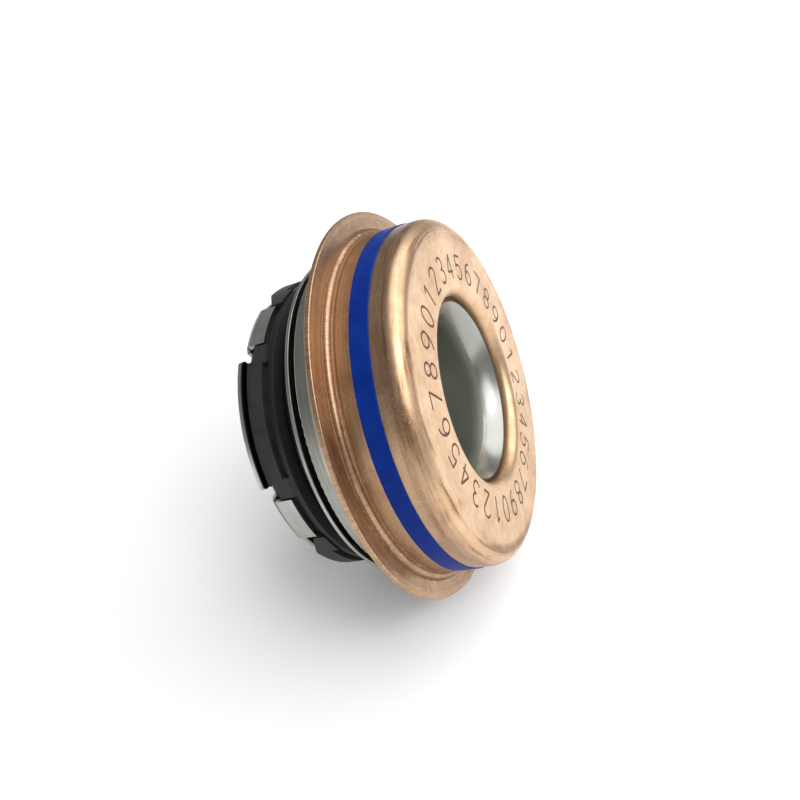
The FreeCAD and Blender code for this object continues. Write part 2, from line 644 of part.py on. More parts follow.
def make_housing(doc):
    """Drawn brass cup: flange, stepped shoulder, body, rounded face, hole and inner collar."""
    fold = "(brass_wall * tan(flare_angle / 2))"
    return solid_ring(doc, "housing", [
        (FLANGE_RADIUS, FLANGE_BACK, "flange_rounding"),
        (FLANGE_RADIUS, SEAT, "flange_rounding"),
        (SHOULDER_RADIUS, SEAT, "shoulder_hollow / 2"),
        (SHOULDER_RADIUS, SHOULDER_TOP, "shoulder_rounding"),
        (BODY_RADIUS, SHOULDER_TOP, "shoulder_hollow"),
        (BODY_RADIUS, FRONT, "corner_rounding"),
        (HOLE_RADIUS, FRONT, "hole_rounding"),
        (HOLE_RADIUS, FUNNEL_TOP, "fold_rounding / 2"),
        (COLLAR_INNER, FUNNEL_FOOT, "fold_rounding"),
        (COLLAR_INNER, COLLAR_END),
        (COLLAR_OUTER, COLLAR_END),
        (COLLAR_OUTER, f"{FUNNEL_FOOT} - {fold}", "fold_rounding / 2"),
        (f"{HOLE_RADIUS} + brass_wall", f"{FUNNEL_TOP} - {fold}", "fold_rounding"),
        (f"{HOLE_RADIUS} + brass_wall", SPRING_TOP, "hole_rounding - brass_wall"),
        (BODY_INNER, SPRING_TOP, "corner_rounding - brass_wall"),
        (BODY_INNER, f"{SHOULDER_TOP} - brass_wall", "shoulder_hollow"),
        (f"{SHOULDER_RADIUS} - brass_wall", f"{SHOULDER_TOP} - brass_wall"),
        (f"{SHOULDER_RADIUS} - brass_wall", FLANGE_BACK, "flange_rounding"),
    ])


def make_sealant_band(doc):
    """Painted sealant on the body of the housing."""
    base = f"({SEAT} + band_start)"
    return solid_ring(doc, "sealant_band", [
        (BODY_RADIUS, base),
        (f"{BODY_RADIUS} + band_rise", base, "band_rise / 2"),
        (f"{BODY_RADIUS} + band_rise", f"{base} + band_width", "band_rise / 2"),
        (BODY_RADIUS, f"{base} + band_width"),
    ])


def check(doc, bodies):
    """Stops at any failed object and any sub-part that isn't one valid solid."""
    for item in doc.Objects:
        if {"Invalid", "Error"} & set(item.State):
            raise RuntimeError(f"{item.Name} failed: {item.State}")
    for body in bodies:
        shape = body.Shape
        if shape.isNull() or not shape.isValid() or len(shape.Solids) != 1:
            raise RuntimeError(f"{body.Label} isn't one valid solid")


def build():
    """Makes the whole seal and writes one file for each sub-part."""
    doc = FreeCAD.newDocument("shaft_seal")
    make_sheet(doc)
    makers = (
        make_sleeve, make_boot, make_mating_ring, make_seal_face, make_face_retainer,
        make_spring_shell, make_bellows, make_bellows_clamp, make_spring, make_housing,
        make_sealant_band,
    )
    bodies = [make(doc) for make in makers]
    doc.recompute()
    check(doc, bodies)
    os.makedirs("parts", exist_ok=True)
    for body in bodies:
        body.Shape.exportStep(f"parts/{body.Label}.step")
        print(body.Label, round(body.Shape.Volume, 2))


build()
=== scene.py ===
import math

import bmesh
import bpy
from bpy.props import FloatProperty, FloatVectorProperty, IntProperty, PointerProperty
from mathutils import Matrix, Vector


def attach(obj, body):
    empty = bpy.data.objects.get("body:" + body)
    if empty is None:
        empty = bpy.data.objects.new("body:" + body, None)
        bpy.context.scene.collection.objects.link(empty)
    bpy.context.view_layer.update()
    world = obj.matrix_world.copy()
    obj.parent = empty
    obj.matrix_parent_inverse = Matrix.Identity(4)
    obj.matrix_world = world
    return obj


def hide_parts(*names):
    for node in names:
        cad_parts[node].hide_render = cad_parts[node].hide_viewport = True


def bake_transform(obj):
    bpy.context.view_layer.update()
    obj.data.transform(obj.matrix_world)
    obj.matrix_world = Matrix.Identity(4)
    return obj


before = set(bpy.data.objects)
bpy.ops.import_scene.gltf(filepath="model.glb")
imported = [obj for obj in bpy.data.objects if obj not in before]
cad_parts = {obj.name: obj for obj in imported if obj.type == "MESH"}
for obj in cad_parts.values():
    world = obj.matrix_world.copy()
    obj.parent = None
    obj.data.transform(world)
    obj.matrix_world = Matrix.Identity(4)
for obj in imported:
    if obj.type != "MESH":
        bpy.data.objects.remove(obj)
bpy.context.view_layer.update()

bl_info = {
    "name": "Mechanical shaft seal",
    "version": (1, 0, 0),
    "blender": (4, 5, 0),
    "location": "View3D > Sidebar > Shaft seal",
    "description": "Dresses a pump's shaft seal: brass, stainless, hard rings, rubber, lacquer",
    "category": "Object",
}

MM = 0.001

# Heights on the seal, in millimetres from the outer face of the end plate.
PLATE_TOP = 0.5
BOOT_RIM = 3.4
SHELL_BASE = 7.42
SHELL_RIDGE = 8.82
SHELL_TOP = 11.32
FLANGE_TOP = 11.55
SHOULDER_TOP = 12.15
FLARE_START = 15.7
SPRING_TOP = 18.45
BRASS_FACE = 19.0

# Radii on the seal, in millimetres.
SHAFT_RADIUS = 7.95
FLARE_EDGE = 10.2
TAB_INNER = 15.2
BODY_RADIUS = 18.3
SHOULDER_RADIUS = 19.0
FLANGE_RADIUS = 21.0

# The spring, in millimetres, and how many of its turns are open.
SPRING_RADIUS = 15.7
WIRE_RADIUS = 0.6
COIL_GAP = 0.08
OPEN_TURNS = 2

# Section of the bellows as (radius, height): cup on the hard ring, roll, sleeve on the collar.
BELLOWS_SECTION = (
    (9.70, 16.05), (9.70, 12.52), (9.78, 12.44), (10.32, 12.44), (10.40, 12.52),
    (10.40, 13.62), (11.30, 13.62), (11.48, 13.57), (11.58, 13.45), (11.60, 13.30),
    (11.60, 10.52), (10.60, 10.52), (10.60, 10.12), (13.90, 10.12), (13.90, 7.22),
    (14.55, 7.22), (14.55, 10.40), (14.50, 10.49), (14.40, 10.52), (12.30, 10.52),
    (12.30, 13.42), (12.23, 13.76), (12.04, 14.06), (11.74, 14.25), (11.40, 14.32),
    (10.40, 14.32), (10.40, 16.05),
)

# How far coordinates that follow the axis drift with the bearing, in millimetres.
BEARING_DRIFT = 0.10

# Handling scratches in the brass: direction in degrees, spacing and length in millimetres.
SCRATCHES = ((17, 0.10, 5.0), (71, 0.09, 3.5), (-38, 0.11, 6.0), (112, 0.08, 2.5))

# The camera's place, in millimetres, and its turn, in degrees, from the photograph's ellipses.
CAMERA_PLACE = (6.447, -75.488, 44.956)
CAMERA_TURN = (25.605, -61.912, 66.782)
FOCAL_PIXELS = 760
IMAGE_PIXELS = 800
SENSOR_WIDTH = 36

# The seal lies on its flange and the edge of its end. This is the way up there, and how far
# down the floor is, in millimetres. The floor's half width is in metres.
FLOOR_UP = Vector((-0.72706, -0.54349, 0.41952)).normalized()
FLOOR_DROP = 14.6
FLOOR_HALF = 0.6
FLOOR_WHITE = 0.86

# How brightly the room lights the seal; the camera sees it at 1, which is white.
ROOM_LIGHT = 0.32

# Name, place and width in metres, and power in watts, of each lamp; then where all are aimed.
LAMPS = (
    ("overhead", FLOOR_UP * 0.30 + Vector((0.02, 0.10, 0.10)), 0.48, 1.2),
    ("front", Vector((-0.05, -0.22, 0.26)), 0.24, 0.32),
)
LAMP_AIM = Vector((0, 0, 0.01))

# Depth of the etched strokes' middle line below the brass face, in millimetres, their
# thickness against their width, their sides, and the width of a digit against its grid.
STROKE_SINK = 0.0005
STROKE_FLATNESS = 0.011
STROKE_SIDES = 8
DIGIT_WIDENING = 1.15


def bow(middle, half_width, half_height, start, end):
    """Points along part of an ellipse, from one angle to another, in degrees."""
    count = max(3, round(abs(end - start) / 15) + 1)
    angles = [math.radians(start + (end - start) * i / (count - 1)) for i in range(count)]
    return [(middle[0] + half_width * math.cos(a), middle[1] + half_height * math.sin(a))
            for a in angles]


# Digits on a grid one unit wide and two units high. A stroke ends at each sharp corner.
SIX = bow((0.90, 0.60), 0.88, 1.40, 100, 180) + bow((0.50, 0.60), 0.48, 0.60, 180, 540)
DIGIT_STROKES = (
    [bow((0.50, 1.00), 0.48, 1.00, 90, 450)],
    [[(0.20, 1.60), (0.55, 2.00)], [(0.55, 2.00), (0.55, 0.00)]],
    [bow((0.50, 1.50), 0.47, 0.50, 165, -30) + [(0.00, 0.00)], [(0.00, 0.00), (1.00, 0.00)]],
    [bow((0.50, 1.52), 0.42, 0.48, 150, -90), bow((0.48, 0.52), 0.50, 0.52, 90, -150)],
    [[(0.75, 0.00), (0.75, 2.00)], [(0.75, 2.00), (0.00, 0.60)], [(0.00, 0.60), (1.00, 0.60)]],
    [[(0.92, 2.00), (0.15, 2.00)], [(0.15, 2.00), (0.08, 1.05)],
     bow((0.46, 0.62), 0.52, 0.62, 138, -150)],
    [SIX],
    [[(0.00, 2.00), (1.00, 2.00)], [(1.00, 2.00), (0.35, 0.00)]],
    [bow((0.50, 1.53), 0.38, 0.47, -90, 270), bow((0.50, 0.53), 0.48, 0.53, 90, 450)],
    [[(1.00 - x, 2.00 - y) for x, y in SIX]],
)


def colour(hex_code):
    """Linear RGBA of an sRGB hex colour."""
    parts = [int(hex_code[i:i + 2], 16) / 255 for i in (1, 3, 5)]
    linear = [p / 12.92 if p <= 0.04045 else ((p + 0.055) / 1.055) ** 2.4 for p in parts]
    return (*linear, 1.0)


def hex_colour(name, description, hex_code):
    """A colour property with an sRGB hex default."""
    return FloatVectorProperty(name=name, description=description, subtype="COLOR", size=4,
                               min=0, max=1, default=colour(hex_code))


def distance(name, description, default, low, high):
    """A length property, given in millimetres and kept in metres."""
    return FloatProperty(name=name, description=description, default=default * MM,
                         min=low * MM, max=high * MM, subtype="DISTANCE", unit="LENGTH",
                         precision=6)


def add_node(tree, kind, settings=None, inputs=None):
    """Adds a node. An input is a value, or a socket to link from."""
    node = tree.nodes.new(kind)
    for key, value in (settings or {}).items():
        setattr(node, key, value)
    for key, value in (inputs or {}).items():
        if isinstance(value, bpy.types.NodeSocket):
            tree.links.new(value, node.inputs[key])
        else:
            node.inputs[key].default_value = value
    return node


def new_material(name):
    """An empty node material and its tree."""
    material = bpy.data.materials.new(name)
    material.use_nodes = True
    material.node_tree.nodes.clear()
    return material, material.node_tree


def millimetres(tree):
    """Object coordinates in millimetres."""
    place = add_node(tree, "ShaderNodeTexCoord")
    return add_node(tree, "ShaderNodeVectorMath", {"operation": "SCALE"},
                    {0: place.outputs["Object"], "Scale": 1000.0}).outputs[0]


def calculate(tree, operation, first, second=0.0, third=0.0, clamp=False):
    """One step of arithmetic."""
    return add_node(tree, "ShaderNodeMath", {"operation": operation, "use_clamp": clamp},
                    {0: first, 1: second, 2: third}).outputs[0]


def product(tree, first, *others):
    """Several values multiplied."""
    for value in others:
        first = calculate(tree, "MULTIPLY", first, value)
    return first


def add_share(tree, value, share, total):
    """A share of one value added to another."""
    return calculate(tree, "MULTIPLY_ADD", value, share, total)


def ramp(tree, value, low, high, start=0.0, end=1.0):
    """A value's range, mapped smoothly onto another."""
    return add_node(tree, "ShaderNodeMapRange", {"interpolation_type": "SMOOTHSTEP"},
                    {"Value": value, "From Min": low, "From Max": high,
                     "To Min": start, "To Max": end}).outputs[0]


def band(tree, value, low, high, soft):
    """1 between two limits and 0 outside them, with soft edges."""
    return product(tree, ramp(tree, value, low - soft, low), ramp(tree, value, high + soft, high))


def blend_colours(tree, share, first, second):
    """Two colours mixed by a share."""
    return add_node(tree, "ShaderNodeMix", {"data_type": "RGBA"},
                    {"Factor": share, 6: first, 7: second}).outputs[2]


def clouds(tree, where, size, detail=3.0, rough=0.5, stretch=None, warp=0.0):
    """Noise whose lumps are about size millimetres across."""
    if stretch:
        where = add_node(tree, "ShaderNodeMapping", {"vector_type": "POINT"},
                         {"Vector": where, "Scale": stretch}).outputs[0]
    return add_node(tree, "ShaderNodeTexNoise",
                    inputs={"Vector": where, "Scale": 1.0 / size, "Detail": detail,
                            "Roughness": rough, "Distortion": warp}).outputs["Fac"]


def around_axis(tree, where):
    """Coordinates that barely change round the axis; then the radius and the height."""
    x, y, height = add_node(tree, "ShaderNodeSeparateXYZ", inputs={0: where}).outputs[:]
    squares = calculate(tree, "ADD", product(tree, x, x), product(tree, y, y))
    radius = calculate(tree, "SQRT", squares)
    drift_x = calculate(tree, "DIVIDE", x, radius)
    drift_y = calculate(tree, "DIVIDE", y, radius)
    turned = add_node(tree, "ShaderNodeCombineXYZ",
                      inputs={0: add_share(tree, drift_x, BEARING_DRIFT, radius),
                              1: add_share(tree, drift_y, BEARING_DRIFT, height),
                              2: drift_x}).outputs[0]
    return turned, radius, height


def scratches(tree, where, angle, spacing, length, keep):
    """Thin straight lines in one direction, most of them left out."""
    turned = add_node(tree, "ShaderNodeMapping", {"vector_type": "POINT"},
                      {"Vector": where, "Rotation": (0.0, 0.0, math.radians(angle))}).outputs[0]
    lines = clouds(tree, turned, spacing, detail=1.0, stretch=(1.0, spacing / length, 1.0))
    patches = clouds(tree, where, length, detail=1.0)
    return product(tree, ramp(tree, lines, keep, keep + 0.02), ramp(tree, patches, 0.5, 0.6))


def shaded(tree, base, roughness, metallic, height, strength, depth, **fixed):
    """A Principled surface with a bump whose depth is in millimetres."""
    bump = add_node(tree, "ShaderNodeBump",
                    inputs={"Strength": strength, "Distance": depth * MM, "Height": height})
    surface = add_node(tree, "ShaderNodeBsdfPrincipled",
                       inputs={"Base Color": base, "Roughness": roughness, "Metallic": metallic,
                               "Normal": bump.outputs[0]})
    for socket, value in fixed.items():
        surface.inputs[socket.replace("_", " ")].default_value = value
    add_node(tree, "ShaderNodeOutputMaterial", inputs={"Surface": surface.outputs[0]})


def bend_stains_and_reflection(tree, where, turned, radius, height):
    """Brown staining and a painted dark reflection in the bend from body to face, drawn out round
    the axis, in short lengths.
    """
    bend = product(tree, ramp(tree, radius, BODY_RADIUS - 2.7, BODY_RADIUS - 1.5),
                   ramp(tree, height, BRASS_FACE - 2.8, BRASS_FACE - 1.6))
    streaks = clouds(tree, turned, 0.7, detail=4.0, rough=0.7, stretch=(1.0, 1.0, 1.6))
    lengths = ramp(tree, clouds(tree, where, 5.0, detail=2.0), 0.42, 0.58, 0.35, 1.0)
    return product(tree, bend, ramp(tree, streaks, 0.42, 0.62), lengths)


def shoulder_hollow_shade(tree, radius, height):
    """Painted shade in the two hollow corners beside the shoulder."""
    hollow = product(tree, band(tree, height, SHOULDER_TOP - 0.04, SHOULDER_TOP + 0.30, 0.05),
                     ramp(tree, radius, BODY_RADIUS + 0.32, BODY_RADIUS + 0.22))
    foot = product(tree, ramp(tree, height, FLANGE_TOP + 0.20, FLANGE_TOP + 0.12),
                   band(tree, radius, SHOULDER_RADIUS - 0.03, SHOULDER_RADIUS + 0.15, 0.05))
    return calculate(tree, "MAXIMUM", hollow, foot)


def press_marks(tree, where, radius, height):
    """Marks that cross the shoulder, and nicks in the flange's rim, about 0.3 mm apart."""
    split = add_node(tree, "ShaderNodeSeparateXYZ", inputs={0: where})
    bearing = calculate(tree, "ARCTAN2", split.outputs[1], split.outputs[0])
    ticks = add_node(tree, "ShaderNodeTexNoise", {"noise_dimensions": "1D"},
                     {"W": product(tree, bearing, SHOULDER_RADIUS), "Scale": 1.0 / 0.3,
                      "Detail": 2.0}).outputs["Fac"]
    shoulder = product(tree, band(tree, height, FLANGE_TOP + 0.15, SHOULDER_TOP + 0.15, 0.10),
                       ramp(tree, radius, BODY_RADIUS + 0.05, BODY_RADIUS + 0.20))
    rim = ramp(tree, radius, FLANGE_RADIUS - 0.30, FLANGE_RADIUS - 0.15)
    return product(tree, ramp(tree, ticks, 0.48, 0.60),
                   calculate(tree, "MAXIMUM", shoulder, rim))


def handling_scratches(tree, where):
    """Scratches in several directions. Real ones are finer; these can be seen at 0.1 mm."""
    marks = None
    for angle, spacing, length in SCRATCHES:
        one = scratches(tree, where, angle, spacing, length, 0.66)
        marks = one if marks is None else calculate(tree, "MAXIMUM", marks, one)
    return marks


def drawn_brass(settings):
    """Deep-drawn brass: a satin, slightly pink metal, lined round its sides, cloudy, scratched."""
    material, tree = new_material("drawn_brass")
    where = millimetres(tree)
    turned, radius, height = around_axis(tree, where)
    tarnish = ramp(tree, clouds(tree, where, 5.0, detail=4.0, rough=0.6, warp=0.4), 0.35, 0.7)
    mottle = ramp(tree, clouds(tree, where, 1.3, detail=4.0, rough=0.65, warp=0.3), 0.42, 0.68)
    share = calculate(tree, "MULTIPLY_ADD", mottle, 0.4, product(tree, tarnish, 0.6), clamp=True)
    base = blend_colours(tree, share, settings.bright, settings.tarnished)
    # The sides were pressed and handled: browner than the face, except for the rubbed rim.
    side = ramp(tree, height, BRASS_FACE - 0.3, BRASS_FACE - 1.8)
    rubbed_and_highlit = ramp(tree, radius, FLANGE_RADIUS - 0.75, FLANGE_RADIUS - 0.55)
    brown = product(tree, side, add_share(tree, rubbed_and_highlit, -0.45, 1.0))
    base = blend_colours(tree, brown, base, settings.side)
    oxide = ramp(tree, clouds(tree, where, 3.2, detail=4.0, rough=0.6, stretch=(1.0, 1.0, 1.8),
                              warp=0.5), 0.46, 0.7)
    # Lines that drawing leaves round the axis. Real ones are about 0.05 mm apart; these are
    # drawn at 0.16 mm so that they can be seen.
    lines = clouds(tree, turned, 0.16, detail=3.0, rough=0.6, stretch=(1.0, 1.0, 0.12))
    # Partly staining, partly a painted dark reflection beside the bend's highlight.
    stains_and_reflection = bend_stains_and_reflection(tree, where, turned, radius, height)
    # Painted shade: the hollow corners beside the shoulder are darkened as if in shade.
    hollow_shade = shoulder_hollow_shade(tree, radius, height)
    ticks = press_marks(tree, where, radius, height)
    for part in (
        product(tree, brown, oxide, 0.4),
        product(tree, stains_and_reflection, 0.9),
        product(tree, hollow_shade, 0.75),
        product(tree, ramp(tree, lines, 0.35, 0.7), add_share(tree, side, 0.30, 0.05)),
        product(tree, ticks, 0.35),
    ):
        base = blend_colours(tree, part, base, settings.stain_and_painted_shade)
    marks = handling_scratches(tree, where)
    base = blend_colours(tree, product(tree, marks, 0.4), base, settings.worn)
    specks = add_node(tree, "ShaderNodeTexVoronoi", inputs={"Vector": where, "Scale": 1.3})
    specks = product(tree, ramp(tree, specks.outputs["Distance"], 0.10, 0.05),
                     ramp(tree, clouds(tree, where, 3.0), 0.5, 0.6))
    base = blend_colours(tree, product(tree, specks, 0.55), base, settings.stain_and_painted_shade)
    relief = product(tree, lines, add_share(tree, side, 0.85, 0.15))
    for cut in (marks, ticks, specks):
        relief = add_share(tree, cut, -0.5, relief)
    rough = add_share(tree, share, 0.08, settings.roughness)
    rough = add_share(tree, hollow_shade, 0.25, rough)
    shaded(tree, base, rough, 1.0, relief, 0.2, 0.012)
    return material


def lined_steel(tree, bright, dull, size):
    """Colour of drawn steel with lines round the axis, and its lines, patches, radius, height.

    Real lines are about 0.05 mm apart. They are drawn two or three times as coarse, so that
    they can be seen.
    """
    where = millimetres(tree)
    turned, radius, height = around_axis(tree, where)
    lines = clouds(tree, turned, size, detail=3.0, stretch=(1.0, 1.0, 0.12))
    patches = ramp(tree, clouds(tree, where, 4.0, detail=3.0, rough=0.55), 0.38, 0.72)
    share = add_share(tree, ramp(tree, lines, 0.32, 0.7), 0.6, product(tree, patches, 0.4))
    return blend_colours(tree, share, bright, dull), lines, patches, radius, height


def drawn_steel(name, bright, dull, roughness, size):
    """Stainless as drawn: grey, with fine lines round the axis and faint duller patches."""
    material, tree = new_material(name)
    base, lines, patches = lined_steel(tree, bright, dull, size)[:3]
    rough = add_share(tree, patches, 0.06, roughness)
    shaded(tree, base, rough, 1.0, lines, 0.15, 0.008)
    return material


def shell_steel(settings):
    """Grey drawn steel of the spring shell, with a painted highlight along its ridge and its open
    edge.
    """
    material, tree = new_material("shell_steel")
    base, lines, patches, _, height = lined_steel(tree, settings.shell, settings.shell_dull, 0.16)
    # Painted highlight: the ridge and the open edge are drawn lighter, as if they caught the
    # light.
    ridge_highlight = band(tree, height, SHELL_RIDGE - 0.09, SHELL_RIDGE + 0.05, 0.05)
    edge = ramp(tree, height, SHELL_BASE + 0.16, SHELL_BASE + 0.08)
    rubbed_and_highlit = product(tree, calculate(tree, "MAXIMUM", ridge_highlight, edge), 0.8)
    base = blend_colours(tree, rubbed_and_highlit, base, settings.lighter_steel_and_highlight)
    rough = add_share(tree, patches, 0.06, 0.36)
    shaded(tree, base, rough, 1.0, lines, 0.2, 0.01)
    return material


def sleeve_steel(settings):
    """Stainless of the sleeve: bright tabs and flare, a dull bore, painted shade over the plate.
    """
    material, tree = new_material("sleeve_steel")
    base, lines, patches, radius, height = lined_steel(
        tree, settings.steel, settings.steel_dull, 0.14)
    tabs = product(tree, ramp(tree, radius, TAB_INNER - 0.7, TAB_INNER), 0.2)
    base = blend_colours(tree, tabs, base, settings.lighter_steel_and_highlight)
    # Painted shade: the plate's upper face, in the gap under the rubber, is darkened as if in
    # shade.
    film_and_shade = product(tree, band(tree, height, PLATE_TOP - 0.08, PLATE_TOP + 0.12, 0.10),
                   ramp(tree, radius, TAB_INNER - 0.4, TAB_INNER), 0.85)
    base = blend_colours(tree, film_and_shade, base, settings.painted_plate_shade)
    bore = product(tree, ramp(tree, radius, SHAFT_RADIUS + 0.35, SHAFT_RADIUS + 0.29),
                   ramp(tree, height, FLARE_START + 0.15, FLARE_START))
    base = blend_colours(tree, bore, base, settings.bore)
    # The flare was turned finer than the rest, so its lines are fainter.
    fine = product(tree, band(tree, radius, SHAFT_RADIUS + 0.40, FLARE_EDGE, 0.05),
                   ramp(tree, height, FLARE_START, FLARE_START + 0.15))
    base = blend_colours(tree, product(tree, fine, 0.7), base, settings.steel)
    base = blend_colours(tree, product(tree, fine, 0.4), base, settings.steel_dull)
    lines = product(tree, lines, add_share(tree, fine, -0.6, 1.0))
    rough = add_share(tree, patches, 0.06, 0.28)
    rough = add_share(tree, bore, 0.25, rough)
    shaded(tree, base, rough, 1.0, lines, 0.10, 0.008)
    return material


def moulded_rubber(settings):
    """Moulded nitrile rubber: nearly black and matt; painted light makes it a cloudy charcoal
    below the boot's rim, which leaves the rim dark as if shaded.
    """
    material, tree = new_material("moulded_rubber")
    where = millimetres(tree)
    height = add_node(tree, "ShaderNodeSeparateXYZ", inputs={0: where}).outputs[2]
    # Painted light: below the boot's rim the rubber is drawn a lighter, cloudy charcoal, as if
    # lit.
    painted_lit = ramp(tree, height, BOOT_RIM - 0.1, BOOT_RIM - 0.7)
    painted_light = ramp(tree, clouds(tree, where, 2.2, detail=4.0, rough=0.65), 0.3, 0.75)
    painted_light = product(tree, painted_lit, add_share(tree, painted_light, 0.6, 0.4))
    base = blend_colours(tree, painted_light, settings.rubber, settings.painted_light)
    # A mould's grain is about 0.05 mm; it is drawn at 0.12 mm so that it can be seen.
    grain = clouds(tree, where, 0.12, detail=3.0, rough=0.6)
    rough = add_share(tree, painted_light, 0.15, 0.5)
    shaded(tree, base, rough, 0.0, grain, 0.3, 0.015, IOR=1.52, Specular_IOR_Level=0.35)
    return material


def silicon_carbide(settings):
    """Sintered silicon carbide: a dense near-black ceramic with a bluish cast, lapped smooth."""
    material, tree = new_material("silicon_carbide")
    # Its grains are about 0.01 mm; they are drawn at 0.08 mm so that they can be seen.
    grain = clouds(tree, millimetres(tree), 0.08, detail=2.0)
    base = blend_colours(tree, grain, settings.ceramic, settings.ceramic_grain)
    rough = add_share(tree, grain, 0.15, 0.22)
    shaded(tree, base, rough, 0.0, grain, 0.1, 0.005, Specular_IOR_Level=0.35)
    return material


def sealing_lacquer(settings):
    """Dried blue sealing lacquer: even and saturated, thinner in places, with a soft sheen."""
    material, tree = new_material("sealing_lacquer")
    where = millimetres(tree)
    film_and_shade = clouds(tree, where, 1.6, detail=3.0)
    base = blend_colours(tree, ramp(tree, film_and_shade, 0.35, 0.7), settings.lacquer,
                         settings.lacquer_thin)
    ripple = clouds(tree, where, 0.5, detail=2.0)
    rough = add_share(tree, film_and_shade, 0.12, 0.42)
    shaded(tree, base, rough, 0.0, ripple, 0.15, 0.01, Specular_IOR_Level=0.09)
    return material


def etched_mark(settings):
    """Electrolytic etching in brass: matt brown strokes."""
    material, tree = new_material("etched_mark")
    grain = clouds(tree, millimetres(tree), 0.15, detail=2.0)
    base = blend_colours(tree, grain, settings.mark, settings.mark_light)
    shaded(tree, base, add_share(tree, grain, 0.2, 0.5), 0.4, grain, 0.2, 0.01)
    return material


def dress(node_names, material):
    """Gives CAD nodes a material."""
    for name in node_names:
        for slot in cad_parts[name].material_slots:
            slot.material = material


def link(obj):
    """Puts an object in the scene."""
    bpy.context.scene.collection.objects.link(obj)
    return obj


def plain_mesh(obj, name):
    """The evaluated shape of an object as a new plain object; the old one is removed."""
    graph = bpy.context.evaluated_depsgraph_get()
    graph.update()
    mesh = bpy.data.meshes.new_from_object(obj.evaluated_get(graph))
    bpy.data.objects.remove(obj)
    made = link(bpy.data.objects.new(name, mesh))
    mesh.name = name
    return made


def point_outwards(obj):
    """Merges doubles and turns every face outwards."""
    work = bmesh.new()
    work.from_mesh(obj.data)
    bmesh.ops.remove_doubles(work, verts=work.verts, dist=1e-7)
    bmesh.ops.recalc_face_normals(work, faces=work.faces)
    work.to_mesh(obj.data)
    work.free()


def shade_smooth(obj, angle):
    """Smooth shading, with edges sharper than an angle left sharp."""
    obj.data.shade_smooth()
    work = bmesh.new()
    work.from_mesh(obj.data)
    for edge in work.edges:
        if len(edge.link_faces) == 2 and edge.calc_face_angle() > math.radians(angle):
            edge.smooth = False
    work.to_mesh(obj.data)
    work.free()


def sweep_tree(material):
    """Geometry nodes that sweep a round or flattened profile along a curve."""
    tree = bpy.data.node_groups.new("sweep", "GeometryNodeTree")
    face = tree.interface
    face.new_socket("Geometry", in_out="INPUT", socket_type="NodeSocketGeometry")
    width = face.new_socket("Half width", in_out="INPUT", socket_type="NodeSocketFloat")
    flat = face.new_socket("Flatness", in_out="INPUT", socket_type="NodeSocketFloat")
    sides = face.new_socket("Sides", in_out="INPUT", socket_type="NodeSocketInt")
    face.new_socket("Geometry", in_out="OUTPUT", socket_type="NodeSocketGeometry")
    given = add_node(tree, "NodeGroupInput").outputs
    ring = add_node(tree, "GeometryNodeCurvePrimitiveCircle",
                    inputs={"Radius": given["Half width"], "Resolution": given["Sides"]})
    shape = add_node(tree, "ShaderNodeCombineXYZ", inputs={0: 1.0, 1: given["Flatness"], 2: 1.0})
    flattened = add_node(tree, "GeometryNodeTransform",
                         inputs={"Geometry": ring.outputs[0], "Scale": shape.outputs[0]})
    upright = add_node(tree, "GeometryNodeSetCurveNormal", {"mode": "Z_UP"},
                       {"Curve": given["Geometry"]})
    swept = add_node(tree, "GeometryNodeCurveToMesh",
                     inputs={"Curve": upright.outputs[0], "Profile Curve": flattened.outputs[0],
                             "Fill Caps": True})
    single = add_node(tree, "GeometryNodeRealizeInstances",
                      inputs={"Geometry": swept.outputs[0]})
    painted = add_node(tree, "GeometryNodeSetMaterial",
                       inputs={"Geometry": single.outputs[0], "Material": material})
    add_node(tree, "NodeGroupOutput", inputs={"Geometry": painted.outputs[0]})
    return tree, (width.identifier, flat.identifier, sides.identifier)


def swept(name, strokes, material, half_width, flatness, sides):
    """Strokes, each a list of points in metres, swept into closed tubes."""
    line = bpy.data.curves.new(f"{name}_line", "CURVE")
    line.dimensions = "3D"
    for stroke in strokes:
        spline = line.splines.new("POLY")
        spline.points.add(len(stroke) - 1)
        for point, spot in zip(spline.points, stroke):
            point.co = (*spot, 1.0)
    obj = link(bpy.data.objects.new(f"{name}_line", line))
    tree, sockets = sweep_tree(material)
    modifier = obj.modifiers.new("sweep", "NODES")
    modifier.node_group = tree
    for socket, value in zip(sockets, (half_width, flatness, sides)):
        modifier[socket] = value
    made = plain_mesh(obj, name)
    bpy.data.curves.remove(line)
    return made


def on_circle(radius, angle, height):
    """A point in metres, from a radius and a height in millimetres and an angle in radians."""
    return Vector((radius * math.cos(angle), radius * math.sin(angle), height)) * MM


def coil_points(steps=48):
    """Middle line of the spring: a closed turn, open turns, a closed turn."""
    start = SHELL_TOP + WIRE_RADIUS / 2
    end = SPRING_TOP - WIRE_RADIUS / 2
    closed = 2 * WIRE_RADIUS + COIL_GAP
    open_rise = end - start - 2 * closed
    points = []
    for i in range((OPEN_TURNS + 2) * steps + 1):
        turn = i / steps
        opened = min(max(turn - 1, 0), OPEN_TURNS) / OPEN_TURNS
        shut = min(turn, 1) + max(turn - 1 - OPEN_TURNS, 0)
        height = start + closed * shut + open_rise * opened
        points.append(on_circle(SPRING_RADIUS, 2 * math.pi * turn, height))
    return points


